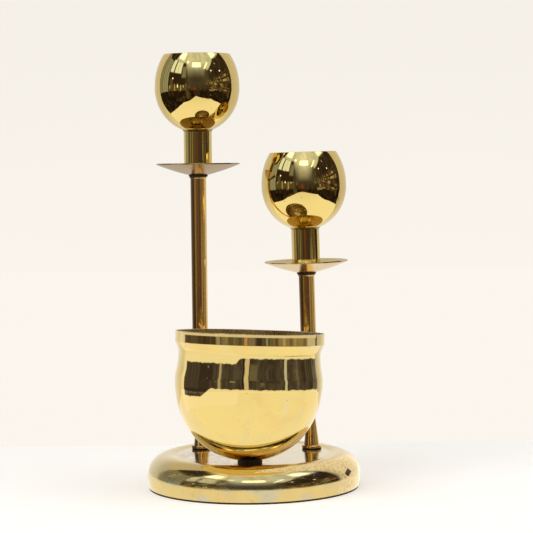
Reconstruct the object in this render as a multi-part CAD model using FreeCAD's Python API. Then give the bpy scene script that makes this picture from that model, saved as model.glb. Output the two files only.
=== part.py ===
"""Polished brass candle stand: a weighted round base carries two posts of different height and a
round-bottomed bowl, one at each corner of a triangle. Each post ends in a drip pan and a candle socket, and
a ball-shaped votive cup plugs into the socket with a peg. The bowl rests loose on a rubber seat.

Frame: millimetres, +Z up. The origin is on the base's axis, on the surface the stand rests on. The posts
stand at the back (+Y), the tall one on the left (-X), and the bowl is at the front (-Y).
"""

import FreeCAD
import Part

import math
import os

from FreeCAD import Vector

# ---- driving dimensions --------------------------------------------------------------------------
# layout on the base
POST_Y = 26.0              # both posts, behind the base's axis
BOWL_Y = -46.0             # the bowl's axis, in front of it
LEFT_X = -45.6
LEFT_TOP_Z = 258.5         # underside of the tall post's drip pan
LEFT_LEAN = 0.1            # degrees from upright, towards +X; the posts are a little out of true
RIGHT_X = 47.5
RIGHT_TOP_Z = 176.0
RIGHT_LEAN = -1.1

# base
BASE_R = 88.2
BASE_RIM_R = 17.8          # radius of the rounded rim's section, from its widest level up
BASE_LOW_RIM_R = 36.0      # radius of the steeper section below that level
BASE_TOP_Z = 27.5          # the flat the posts stand on
BASE_CREST_Z = 28.5        # top of the rounded rim, a little above the flat
BASE_BLEND_R = 4.0         # blend between the flat and the rim
BASE_WALL = 1.2
FELT_T = 1.5
FELT_R = 86.6

# ballast casting, hollow underneath
WEIGHT_R = 66.0
WEIGHT_WEB_T = 9.0
WEIGHT_RING_W = 12.0
WEIGHT_HOLE_R = 3.6        # leaves the tie rods room to lean

# posts
POST_R = 6.6
POST_BORE_R = 5.6
FLANGE_R = 8.35            # the foot's flange
FLANGE_T = 2.1
FLANGE_ROUND = 1.0         # rounding of its upper edge
COLLAR_R = 7.3             # the lip of the collar at the post's top
COLLAR_T = 1.6
COLLAR_ROUND = 0.75
WASHER_R = 8.0
FOOT_WASHER_T = 1.0
PAN_WASHER_T = 1.5
FOOT_H = 39.0              # turned foot, from its flange's underside to the tube's end
FOOT_BASE_R = 6.4          # just above the flange
FOOT_WAIST_R = 4.1
FOOT_WAIST_H = 23.0        # height of the waist above the flange's underside
FOOT_SHOULDER_H = 34.0     # where the foot is back to the tube's size
SPIGOT_L = 8.0             # how far the foot and the top collar reach into the tube
SPIGOT_GAP = 0.05

# tie rods and their fasteners (M6)
ROD_R = 3.0
ROD_HOLE_R = 3.25
NUT_AF = 10.0
NUT_T = 5.0
STEEL_WASHER_R = 6.0
STEEL_WASHER_T = 1.6
ROD_TAIL = 1.2             # rod beyond each nut

# drip pan and candle socket
PAN_R = 35.0
PAN_FLAT_R = 8.3
PAN_RISE = 8.8
PAN_T = 0.9
SOCKET_R = 11.75
SOCKET_BORE_R = 11.0       # takes a standard 22 mm candle
SOCKET_H = 35.6
SOCKET_FLOOR_T = 2.5
SOCKET_EDGE_R = 4.0        # rounding of the socket's lower edge, which clears the dished pan

# votive cup and its peg
CUP_R = 35.4
CUP_WALL = 1.1
CUP_LOW_B = 37.0           # half-height of the lower oval
CUP_HIGH_B = 43.1          # half-height of the upper oval
CUP_SINK = 2.6             # the lower oval's bottom, below the flat the cup stands on
CUP_BAND = 1.4             # straight part between the ovals
CUP_RISE = 26.6            # rim above the upper oval's centre
PEG_R = 10.92              # slides in the socket
PEG_BORE_R = 8.2
PEG_L = 20.0
PEG_FLANGE_R = 13.0        # where it meets the cup; its edge slopes in from there to the socket
PEG_FLANGE_LOW_R = 11.9
PEG_FLANGE_T = 1.4
PEG_WEB_T = 3.0
CUP_NUT_R = 8.0
CUP_NUT_T = 3.5
CUP_NUT_SLOT_W = 1.6
CUP_NUT_SLOT_D = 1.2

# bowl and its seat
BOWL_R = 59.6
BOWL_LOW_B = 65.95         # depth of the round bottom below its widest level
BOWL_FULLNESS = 2.12       # 2 would be a true oval; more is fuller between the bottom and the widest level
BOWL_WALL = 1.1
BOWL_CENTRE_H = 67.5       # widest level above the base's flat
BOWL_SHOULDER_R = 58.75    # the wall between the widest level and the waist
BOWL_SHOULDER_H = 6.0      # these heights are above the widest level
BOWL_WAIST_R = 57.3
BOWL_WAIST_H = 17.0
BOWL_FLARE_R = 57.55       # the wall between the waist and the upright band
BOWL_FLARE_H = 22.5
BOWL_BAND_R = 60.2
BOWL_BAND_LOW_H = 28.9
BOWL_RIM_H = 37.1
BOWL_LEAN_BACK = 3.4       # degrees; the bowl lies loose on its round bottom, so it leans a little
BOWL_LEAN_RIGHT = 2.0
BOWL_SEAT_R = 10.0
BOWL_SEAT_BORE_R = 6.6
BOWL_SEAT_LIP_T = 0.5      # thin floor of the seat, clamped under the screw's head
BOWL_SEAT_GAP = 0.05
SEAT_SCREW_R = 2.0
SEAT_SCREW_HOLE_R = 2.2
SEAT_SCREW_HEAD_R = 6.2    # a wide, thin head that stays clear of the bowl
SEAT_SCREW_HEAD_T = 0.5
SEAT_SCREW_SLOT_D = 0.25
SEAT_NUT_AF = 7.0
SEAT_NUT_T = 3.2
SEAT_WASHER_R = 4.5
SEAT_WASHER_T = 0.8

EDGE_BREAK = 0.3           # softened edge on turned rims

# ---- worked-out sizes ----------------------------------------------------------------------------
BASE_RIM_CENTRE_R = BASE_R - BASE_RIM_R
BASE_RIM_CENTRE_Z = BASE_CREST_Z - BASE_RIM_R
SHELL_INNER_Z = BASE_TOP_Z - BASE_WALL
WEIGHT_LOW_Z = SHELL_INNER_Z - WEIGHT_WEB_T
FOOT_Z = BASE_TOP_Z + FOOT_WASHER_T
TUBE_Z = FOOT_Z + FOOT_H
BOWL_CENTRE_Z = BASE_TOP_Z + BOWL_CENTRE_H
CUP_LOW_CENTRE = CUP_LOW_B - CUP_SINK
CUP_HIGH_CENTRE = CUP_LOW_CENTRE + CUP_BAND
CUP_H = CUP_HIGH_CENTRE + CUP_RISE


def oval_radius(a, b, height):
    """Radius of an oval of half-width a and half-height b, at a height from its centre."""
    return a * math.sqrt(1.0 - (height / b) ** 2)


class Outline:
    """A closed outline in the XZ plane, given as (radius, height) points."""

    def __init__(self, r, z):
        self.start = self.here = (r, z)
        self.edges = []

    def _point(self, p):
        return Vector(p[0], 0, p[1])

    def line(self, r, z):
        self.edges.append(Part.makeLine(self._point(self.here), self._point((r, z))))
        self.here = (r, z)
        return self

    def arc(self, middle, end):
        curve = Part.Arc(self._point(self.here), self._point(middle), self._point(end))
        self.edges.append(curve.toShape())
        self.here = end
        return self

    def oval(self, centre_z, a, b, end):
        """Along an oval centred on the axis, from here to end."""
        def angle(p):
            return math.atan2((p[1] - centre_z) / b, p[0] / a)

        first, last = angle(self.here), angle(end)
        steps = 9
        points = []
        for i in range(1, steps - 1):
            turn = first + (last - first) * i / (steps - 1)
            points.append((a * math.cos(turn), centre_z + b * math.sin(turn)))
        way = 1 if last > first else -1
        tangents = [(-way * a * math.sin(turn), way * b * math.cos(turn)) for turn in (first, last)]
        return self.curve(points + [end], *tangents)

    def full_oval(self, a, b, power):
        """From the bottom of an oval centred on the origin to its widest level, fuller than a true oval."""
        steps = 12
        points = []
        for i in range(1, steps):
            turn = math.pi / 2 * i / steps
            points.append((a * math.sin(turn) ** (2 / power), -b * math.cos(turn) ** (2 / power)))
        return self.curve(points + [(a, 0)], (1, 0), (0, 1))

    def curve(self, points, first_tangent, last_tangent):
        """A smooth curve from here through the points, leaving and arriving along the tangents."""
        curve = Part.BSplineCurve()
        curve.interpolate(Points=[self._point(p) for p in [self.here] + points],
                          InitialTangent=self._point(first_tangent), FinalTangent=self._point(last_tangent))
        self.edges.append(curve.toShape())
        self.here = points[-1]
        return self

    def turned(self):
        """The solid turned from this outline about Z."""
        self.line(*self.start)
        face = Part.Face(Part.Wire(self.edges))
        return face.revolve(Vector(0, 0, 0), Vector(0, 0, 1), 360)


def cylinder(radius, low, high, x=0.0, y=0.0):
    return Part.makeCylinder(radius, high - low, Vector(x, y, low))


def ring(outer, inner, low, high):
    return cylinder(outer, low, high).cut(cylinder(inner, low - 1, high + 1))


def placed(shape, x, y, z=0.0):
    moved = shape.copy()
    moved.translate(Vector(x, y, z))
    return moved


def hex_nut(across_flats, bore_r, low, thickness):
    """A hexagon nut with its corners turned off on both faces."""
    corner_r = across_flats / 2 / math.cos(math.radians(30))
    turns = [math.radians(60 * i) for i in range(7)]
    corners = [Vector(corner_r * math.cos(turn), corner_r * math.sin(turn), low) for turn in turns]
    prism = Part.Face(Part.makePolygon(corners)).extrude(Vector(0, 0, thickness))
    drop = (corner_r - across_flats / 2) * 0.6
    high = low + thickness
    turned = (Outline(0, low).line(across_flats / 2, low).line(corner_r, low + drop)
              .line(corner_r, high - drop).line(across_flats / 2, high).line(0, high).turned())
    return prism.common(turned).cut(cylinder(bore_r, low - 1, high + 1))


def rounded_ring(outer, inner, low, high, low_round, high_round):
    """A ring with its outer edges rounded, as turned collars are."""
    root = 1 - math.sqrt(0.5)
    j, k = low_round * root, high_round * root
    shape = (Outline(inner, low).line(outer - low_round, low)
             .arc((outer - j, low + j), (outer, low + low_round))
             .line(outer, high - high_round)
             .arc((outer - k, high - k), (outer - high_round, high))
             .line(inner, high))
    return shape.turned()


def leaned(shape, lean):
    """A post's piece, built upright on the Z axis, leaned in degrees towards +X about the base's flat."""
    moved = shape.copy()
    moved.rotate(Vector(0, 0, BASE_TOP_Z), Vector(0, 1, 0), lean)
    return moved


# ---- base ----------------------------------------------------------------------------------------
def rim_point(angle, radius):
    """A point of the rounded rim's section: angle in degrees from straight out, anticlockwise."""
    turn = math.radians(angle)
    return (BASE_RIM_CENTRE_R + radius * math.cos(turn), BASE_RIM_CENTRE_Z + radius * math.sin(turn))


def low_rim_point(height, offset):
    """A point of the section below the widest level, offset inwards from the outside."""
    radius = BASE_LOW_RIM_R - offset
    centre_r = BASE_R - BASE_LOW_RIM_R
    return (centre_r + math.sqrt(radius ** 2 - (height - BASE_RIM_CENTRE_Z) ** 2), height)


def base_shell():
    inner_r = BASE_RIM_R - BASE_WALL
    blend_z = BASE_TOP_Z + BASE_BLEND_R
    reach = BASE_RIM_R + BASE_BLEND_R
    blend_r = BASE_RIM_CENTRE_R - math.sqrt(reach ** 2 - (blend_z - BASE_RIM_CENTRE_Z) ** 2)
    blend_angle = math.degrees(math.atan2(blend_z - BASE_RIM_CENTRE_Z, blend_r - BASE_RIM_CENTRE_R))
    blend_mid = math.radians((blend_angle + 180 + 270) / 2)
    low_mid = (FELT_T + BASE_RIM_CENTRE_Z) / 2

    def on_blend(radius):
        return (blend_r + radius * math.cos(blend_mid), blend_z + radius * math.sin(blend_mid))

    shape = (Outline(0, BASE_TOP_Z).line(blend_r, BASE_TOP_Z)
             .arc(on_blend(BASE_BLEND_R), rim_point(blend_angle, BASE_RIM_R))
             .arc(rim_point(45, BASE_RIM_R), rim_point(0, BASE_RIM_R))
             .arc(low_rim_point(low_mid, 0), low_rim_point(FELT_T, 0))
             .line(*low_rim_point(FELT_T, BASE_WALL))
             .arc(low_rim_point(low_mid, BASE_WALL), rim_point(0, inner_r))
             .arc(rim_point(45, inner_r), rim_point(blend_angle, inner_r))
             .arc(on_blend(BASE_BLEND_R + BASE_WALL), (blend_r, SHELL_INNER_Z))
             .line(0, SHELL_INNER_Z)).turned()
    for x in (LEFT_X, RIGHT_X):
        shape = shape.cut(cylinder(ROD_HOLE_R, SHELL_INNER_Z - 1, BASE_TOP_Z + 1, x, POST_Y))
    return shape.cut(cylinder(SEAT_SCREW_HOLE_R, SHELL_INNER_Z - 1, BASE_TOP_Z + 1, 0, BOWL_Y))


def base_weight():
    ring_r = WEIGHT_R - WEIGHT_RING_W
    shape = (Outline(0, SHELL_INNER_Z).line(WEIGHT_R - 2, SHELL_INNER_Z).line(WEIGHT_R, SHELL_INNER_Z - 2)
             .line(WEIGHT_R, FELT_T).line(ring_r, FELT_T).line(ring_r - 2, WEIGHT_LOW_Z)
             .line(0, WEIGHT_LOW_Z)).turned()
    # a relief in the ring leaves room for the fasteners of all three stations
    for x, y, hole_r in ((LEFT_X, POST_Y, WEIGHT_HOLE_R), (RIGHT_X, POST_Y, WEIGHT_HOLE_R),
                         (0, BOWL_Y, SEAT_SCREW_HOLE_R)):
        shape = shape.cut(cylinder(STEEL_WASHER_R + 3, FELT_T - 1, WEIGHT_LOW_Z, x, y))
        shape = shape.cut(cylinder(hole_r, WEIGHT_LOW_Z - 1, BASE_TOP_Z, x, y))
    return shape


def felt_pad():
    return cylinder(FELT_R, 0, FELT_T)


# ---- posts ---------------------------------------------------------------------------------------
def foot_washer(lean):
    """A soft washer on the base's flat, squeezed thinner on the side its post leans to."""
    high = BASE_TOP_Z + 2 * FOOT_WASHER_T
    blank = rounded_ring(WASHER_R, ROD_HOLE_R, BASE_TOP_Z, high, EDGE_BREAK, EDGE_BREAK)
    side = 4 * WASHER_R
    above = Part.makeBox(side, side, side, Vector(-side / 2, -side / 2, FOOT_Z))
    return blank.cut(leaned(above, lean))


def pan_washer(top_z):
    return rounded_ring(WASHER_R, ROD_HOLE_R, top_z - PAN_WASHER_T, top_z, EDGE_BREAK, EDGE_BREAK)


def post_foot():
    """The turned foot: a flange, a cone that narrows to a waist, a shoulder for the tube, and a spigot."""
    spigot_r = POST_BORE_R - SPIGOT_GAP
    waist_turn = (FOOT_WAIST_R + 0.75, (FOOT_WAIST_H + FOOT_SHOULDER_H) / 2 + 1.2)
    flange = rounded_ring(FLANGE_R, ROD_HOLE_R, 0, FLANGE_T, EDGE_BREAK, FLANGE_ROUND)
    stem = (Outline(ROD_HOLE_R, EDGE_BREAK).line(FOOT_BASE_R, EDGE_BREAK)
            .line(FOOT_BASE_R, FLANGE_T)
            .line(FOOT_WAIST_R, FOOT_WAIST_H)
            .arc(waist_turn, (POST_R, FOOT_SHOULDER_H))
            .line(POST_R, FOOT_H)
            .line(spigot_r, FOOT_H)
            .line(spigot_r, FOOT_H + SPIGOT_L)
            .line(ROD_HOLE_R, FOOT_H + SPIGOT_L)).turned()
    return placed(flange.fuse(stem).removeSplitter(), 0, 0, FOOT_Z)


def post_tube(top_z):
    return ring(POST_R, POST_BORE_R, TUBE_Z, top_z - PAN_WASHER_T - COLLAR_T)


def top_collar(top_z):
    """A lip under the drip pan's washer and a spigot inside the tube."""
    low = top_z - PAN_WASHER_T - COLLAR_T
    lip = rounded_ring(COLLAR_R, ROD_HOLE_R, low, low + COLLAR_T, COLLAR_ROUND, COLLAR_ROUND)
    spigot = ring(POST_BORE_R - SPIGOT_GAP, ROD_HOLE_R, low - SPIGOT_L, low + EDGE_BREAK)
    return lip.fuse(spigot).removeSplitter()


def drip_pan(top_z):
    """A dished pan on a flat centre."""
    middle_r, middle_rise = 21.3, 3.7
    shape = (Outline(ROD_HOLE_R, 0).line(PAN_FLAT_R, 0)
             .arc((middle_r, middle_rise), (PAN_R, PAN_RISE))
             .line(PAN_R - 0.25, PAN_RISE + PAN_T)
             .arc((middle_r, middle_rise + PAN_T), (PAN_FLAT_R, PAN_T))
             .line(ROD_HOLE_R, PAN_T))
    return placed(shape.turned(), 0, 0, top_z)


def candle_socket(top_z):
    """A round-bottomed cup for a candle; its floor is clamped down on the pan by the tie rod's nut."""
    k = SOCKET_EDGE_R * (1 - math.sqrt(0.5))
    inner_edge = SOCKET_EDGE_R - (SOCKET_R - SOCKET_BORE_R)
    j = inner_edge * (1 - math.sqrt(0.5))
    shape = (Outline(ROD_HOLE_R, 0).line(SOCKET_R - SOCKET_EDGE_R, 0)
             .arc((SOCKET_R - k, k), (SOCKET_R, SOCKET_EDGE_R))
             .line(SOCKET_R, SOCKET_H - EDGE_BREAK)
             .line(SOCKET_R - EDGE_BREAK, SOCKET_H)
             .line(SOCKET_BORE_R, SOCKET_H)
             .line(SOCKET_BORE_R, SOCKET_FLOOR_T + inner_edge)
             .arc((SOCKET_BORE_R - j, SOCKET_FLOOR_T + j), (SOCKET_BORE_R - inner_edge, SOCKET_FLOOR_T))
             .line(ROD_HOLE_R, SOCKET_FLOOR_T))
    return placed(shape.turned(), 0, 0, top_z + PAN_T)


def socket_nut(top_z):
    return hex_nut(NUT_AF, ROD_R, top_z + PAN_T + SOCKET_FLOOR_T, NUT_T)


def tie_rod(top_z):
    low = WEIGHT_LOW_Z - STEEL_WASHER_T - NUT_T - ROD_TAIL
    high = top_z + PAN_T + SOCKET_FLOOR_T + NUT_T + ROD_TAIL
    return (Outline(0, low).line(ROD_R - 0.5, low).line(ROD_R, low + 0.5).line(ROD_R, high - 0.5)
            .line(ROD_R - 0.5, high).line(0, high)).turned()


# ---- votive cup ----------------------------------------------------------------------------------
def seat_level(top_z):
    """Height of the socket's mouth, where the cup's flange rests."""
    return top_z + PAN_T + SOCKET_H


def cup_peg(top_z):
    """Flange, hollow peg below it and threaded stud above it, turned in one piece."""
    stud_top = PEG_FLANGE_T + CUP_WALL + CUP_NUT_T + 0.8
    shape = (Outline(0, PEG_FLANGE_T - PEG_WEB_T).line(PEG_BORE_R, PEG_FLANGE_T - PEG_WEB_T)
             .line(PEG_BORE_R, -PEG_L).line(PEG_R - 0.6, -PEG_L).line(PEG_R, 0.6 - PEG_L).line(PEG_R, 0)
             .line(PEG_FLANGE_LOW_R, 0).line(PEG_FLANGE_R, PEG_FLANGE_T).line(ROD_R, PEG_FLANGE_T)
             .line(ROD_R, stud_top - 0.4).line(ROD_R - 0.4, stud_top).line(0, stud_top))
    return placed(shape.turned(), 0, 0, seat_level(top_z))


def candle_cup(top_z):
    """The ball-shaped shell: a flat, a lower oval, a short straight band, and an upper oval to the rim."""
    a, t = CUP_R, CUP_WALL
    flat_r = oval_radius(a, CUP_LOW_B, CUP_LOW_CENTRE)
    inner_flat_r = oval_radius(a - t, CUP_LOW_B - t, CUP_LOW_CENTRE - t)
    rim_r = oval_radius(a, CUP_HIGH_B, CUP_RISE)
    inner_rim_r = oval_radius(a - t, CUP_HIGH_B - t, CUP_RISE)
    lip = ((rim_r + inner_rim_r) / 2 + 0.1, CUP_H + 0.45)
    shape = (Outline(ROD_HOLE_R, 0).line(flat_r, 0)
             .oval(CUP_LOW_CENTRE, a, CUP_LOW_B, (a, CUP_LOW_CENTRE))
             .line(a, CUP_HIGH_CENTRE)
             .oval(CUP_HIGH_CENTRE, a, CUP_HIGH_B, (rim_r, CUP_H))
             .arc(lip, (inner_rim_r, CUP_H))
             .oval(CUP_HIGH_CENTRE, a - t, CUP_HIGH_B - t, (a - t, CUP_HIGH_CENTRE))
             .line(a - t, CUP_LOW_CENTRE)
             .oval(CUP_LOW_CENTRE, a - t, CUP_LOW_B - t, (inner_flat_r, t))
             .line(ROD_HOLE_R, t))
    return placed(shape.turned(), 0, 0, seat_level(top_z) + PEG_FLANGE_T)


def cup_nut(top_z):
    """A round slotted nut that clamps the cup to its peg."""
    low = seat_level(top_z) + PEG_FLANGE_T + CUP_WALL
    high = low + CUP_NUT_T
    nut = (Outline(ROD_R, low).line(CUP_NUT_R, low).line(CUP_NUT_R, high - 1.2)
           .arc((CUP_NUT_R - 0.4, high - 0.4), (CUP_NUT_R - 1.2, high)).line(ROD_R, high)).turned()
    slot = Part.makeBox(2 * CUP_NUT_R + 2, CUP_NUT_SLOT_W, CUP_NUT_SLOT_D + 1,
                        Vector(-CUP_NUT_R - 1, -CUP_NUT_SLOT_W / 2, high - CUP_NUT_SLOT_D))
    return nut.cut(slot)


# ---- bowl ----------------------------------------------------------------------------------------
def bowl_skin(offset):
    """Outline of the bowl's wall, offset inwards, from the bottom to the foot of the upright band."""
    start = (0, offset - BOWL_LOW_B)
    wall = Outline(*start).full_oval(BOWL_R - offset, BOWL_LOW_B - offset, BOWL_FULLNESS)
    upper = [(BOWL_SHOULDER_R - offset, BOWL_SHOULDER_H), (BOWL_WAIST_R - offset, BOWL_WAIST_H),
             (BOWL_FLARE_R - offset, BOWL_FLARE_H), (BOWL_BAND_R - offset, BOWL_BAND_LOW_H)]
    flare_slope = (BOWL_BAND_R - BOWL_FLARE_R, 0.8 * (BOWL_BAND_LOW_H - BOWL_FLARE_H))
    return wall.curve(upper, (0, 1), flare_slope)


def bowl_placed(solid):
    """Leans a solid built about the bowl's axis and stands it in its place."""
    centre = Vector(0, 0, 0)
    solid.rotate(centre, Vector(1, 0, 0), -BOWL_LEAN_BACK)
    solid.rotate(centre, Vector(0, 1, 0), BOWL_LEAN_RIGHT)
    return placed(solid, 0, BOWL_Y, BOWL_CENTRE_Z)


def bowl():
    """Round bottom, a slight waist above the belly, and an upright band that ends in a rounded lip."""
    t = BOWL_WALL
    outside = bowl_skin(0).line(BOWL_BAND_R, BOWL_RIM_H).line(0, BOWL_RIM_H).turned()
    inside = bowl_skin(t).line(BOWL_BAND_R - t, BOWL_RIM_H + 1).line(0, BOWL_RIM_H + 1).turned()
    lip = Part.makeTorus(BOWL_BAND_R - t / 2, t / 2, Vector(0, 0, BOWL_RIM_H))
    return bowl_placed(outside.cut(inside).fuse(lip).removeSplitter())


def bowl_seat():
    """A rubber ring whose hollowed top follows the bowl's round bottom, with a thin floor for its screw."""
    gap = BOWL_SEAT_GAP
    reach, depth = BOWL_R + gap, BOWL_LOW_B + gap
    bottom = Outline(0, -depth).full_oval(reach, depth, BOWL_FULLNESS).line(0, 0)
    blank = cylinder(BOWL_SEAT_R, 0, 5).cut(cylinder(BOWL_SEAT_BORE_R, BOWL_SEAT_LIP_T, 6))
    blank = placed(blank.cut(cylinder(SEAT_SCREW_HOLE_R, -1, 6)), 0, BOWL_Y, BASE_TOP_Z)
    return blank.cut(bowl_placed(bottom.turned()))


def seat_screw():
    head_z = BASE_TOP_Z + BOWL_SEAT_LIP_T
    low = WEIGHT_LOW_Z - SEAT_WASHER_T - SEAT_NUT_T - 1
    high = head_z + SEAT_SCREW_HEAD_T
    screw = (Outline(0, low).line(SEAT_SCREW_R, low).line(SEAT_SCREW_R, head_z)
             .line(SEAT_SCREW_HEAD_R, head_z).line(SEAT_SCREW_HEAD_R, high - 0.2)
             .line(SEAT_SCREW_HEAD_R - 0.2, high).line(0, high)).turned()
    slot = Part.makeBox(2 * SEAT_SCREW_HEAD_R + 2, 1.0, 2,
                        Vector(-SEAT_SCREW_HEAD_R - 1, -0.5, high - SEAT_SCREW_SLOT_D))
    return placed(screw.cut(slot), 0, BOWL_Y)


def seat_washer():
    low = WEIGHT_LOW_Z - SEAT_WASHER_T
    return placed(ring(SEAT_WASHER_R, SEAT_SCREW_HOLE_R, low, WEIGHT_LOW_Z), 0, BOWL_Y)


def seat_nut():
    low = WEIGHT_LOW_Z - SEAT_WASHER_T - SEAT_NUT_T
    return placed(hex_nut(SEAT_NUT_AF, SEAT_SCREW_R, low, SEAT_NUT_T), 0, BOWL_Y)


# ---- assembly ------------------------------------------------------------------------------------
POSTS = {"left": (LEFT_X, LEFT_TOP_Z, LEFT_LEAN), "right": (RIGHT_X, RIGHT_TOP_Z, RIGHT_LEAN)}


def post_parts(side, x, top_z, lean):
    """Every piece on one post, by node name."""
    upright = {
        "post_foot": post_foot(),
        "post_tube": post_tube(top_z),
        "top_collar": top_collar(top_z),
        "pan_washer": pan_washer(top_z),
        "drip_pan": drip_pan(top_z),
        "candle_socket": candle_socket(top_z),
        "socket_nut": socket_nut(top_z),
        "tie_rod": tie_rod(top_z),
        "cup_peg": cup_peg(top_z),
        "candle_cup": candle_cup(top_z),
        "cup_nut": cup_nut(top_z),
    }
    parts = {f"foot_washer_{side}": placed(foot_washer(lean), x, POST_Y)}
    for name, shape in upright.items():
        parts[f"{name}_{side}"] = placed(leaned(shape, lean), x, POST_Y)
    return parts


def under_each_post(shape):
    """A fastener under the ballast, once on each tie rod; where a rod leans it bears on one edge."""
    placed_shapes = []
    for x, _, lean in POSTS.values():
        drop = STEEL_WASHER_R * math.tan(math.radians(abs(lean)))
        placed_shapes.append(placed(leaned(placed(shape, 0, 0, -drop), lean), x, POST_Y))
    return Part.makeCompound(placed_shapes)


def all_parts():
    washer_low = WEIGHT_LOW_Z - STEEL_WASHER_T
    parts = {
        "base_shell": base_shell(),
        "base_weight": base_weight(),
        "felt_pad": felt_pad(),
        "base_nuts": under_each_post(hex_nut(NUT_AF, ROD_R, washer_low - NUT_T, NUT_T)),
        "base_washers": under_each_post(ring(STEEL_WASHER_R, ROD_HOLE_R, washer_low, WEIGHT_LOW_Z)),
        "bowl": bowl(),
        "bowl_seat": bowl_seat(),
        "seat_screw": seat_screw(),
        "seat_washer": seat_washer(),
        "seat_nut": seat_nut(),
    }
    for side, (x, top_z, lean) in POSTS.items():
        parts.update(post_parts(side, x, top_z, lean))
    return parts


os.makedirs("parts", exist_ok=True)
for node, shape in all_parts().items():
    shape.exportStep(f"parts/{node}.step")
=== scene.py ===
"""Looks for the brass candle stand: procedural brass, felt, rubber, fibre, iron and steel on the CAD
model, a pale table and wall, soft light, and a room for the polished brass to mirror. Reflections,
light and shade are also painted into the brass of the bowl, cups, posts, base and left pan. Metres, in
the CAD frame."""

import math

import bpy
from mathutils import Matrix, Vector


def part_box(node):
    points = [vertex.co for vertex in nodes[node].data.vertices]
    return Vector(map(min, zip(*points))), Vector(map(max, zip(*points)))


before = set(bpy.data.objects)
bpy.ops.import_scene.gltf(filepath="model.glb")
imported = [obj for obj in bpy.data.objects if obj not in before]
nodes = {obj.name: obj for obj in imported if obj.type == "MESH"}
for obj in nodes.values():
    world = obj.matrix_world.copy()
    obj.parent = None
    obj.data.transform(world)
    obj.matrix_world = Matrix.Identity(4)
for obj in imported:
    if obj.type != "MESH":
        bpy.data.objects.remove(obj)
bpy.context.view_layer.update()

# ---- camera --------------------------------------------------------------------------------------
VIEW_AZIMUTH = math.radians(3.745)
VIEW_DISTANCE = 1.5807
VIEW_HEIGHT = 0.2735
VIEW_YAW = math.radians(0.459)
VIEW_PITCH = math.radians(3.296)
VIEW_ROLL = math.radians(0.713)
SENSOR_MM = 36.0
LENS_MM = 129.505


def make_camera():
    """A long lens, nearly level and a little rolled, in front of the stand."""
    sin_az, cos_az = math.sin(VIEW_AZIMUTH), math.cos(VIEW_AZIMUTH)
    level = Vector((-sin_az, cos_az, 0))
    side = Vector((cos_az, sin_az, 0))
    up = Vector((0, 0, 1))
    ahead = level * math.cos(VIEW_YAW) + side * math.sin(VIEW_YAW)
    side = side * math.cos(VIEW_YAW) - level * math.sin(VIEW_YAW)
    aim = ahead * math.cos(VIEW_PITCH) - up * math.sin(VIEW_PITCH)
    up = up * math.cos(VIEW_PITCH) + ahead * math.sin(VIEW_PITCH)
    right = side * math.cos(VIEW_ROLL) - up * math.sin(VIEW_ROLL)
    top = side * math.sin(VIEW_ROLL) + up * math.cos(VIEW_ROLL)
    data = bpy.data.cameras.new("camera")
    data.sensor_width = SENSOR_MM
    data.lens = LENS_MM
    data.clip_start, data.clip_end = 0.05, 50
    camera = bpy.data.objects.new("camera", data)
    bpy.context.scene.collection.objects.link(camera)
    place = Matrix((right, top, -aim)).transposed().to_4x4()
    place.translation = Vector((sin_az * VIEW_DISTANCE, -cos_az * VIEW_DISTANCE, VIEW_HEIGHT))
    camera.matrix_world = place
    bpy.context.scene.camera = camera


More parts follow.
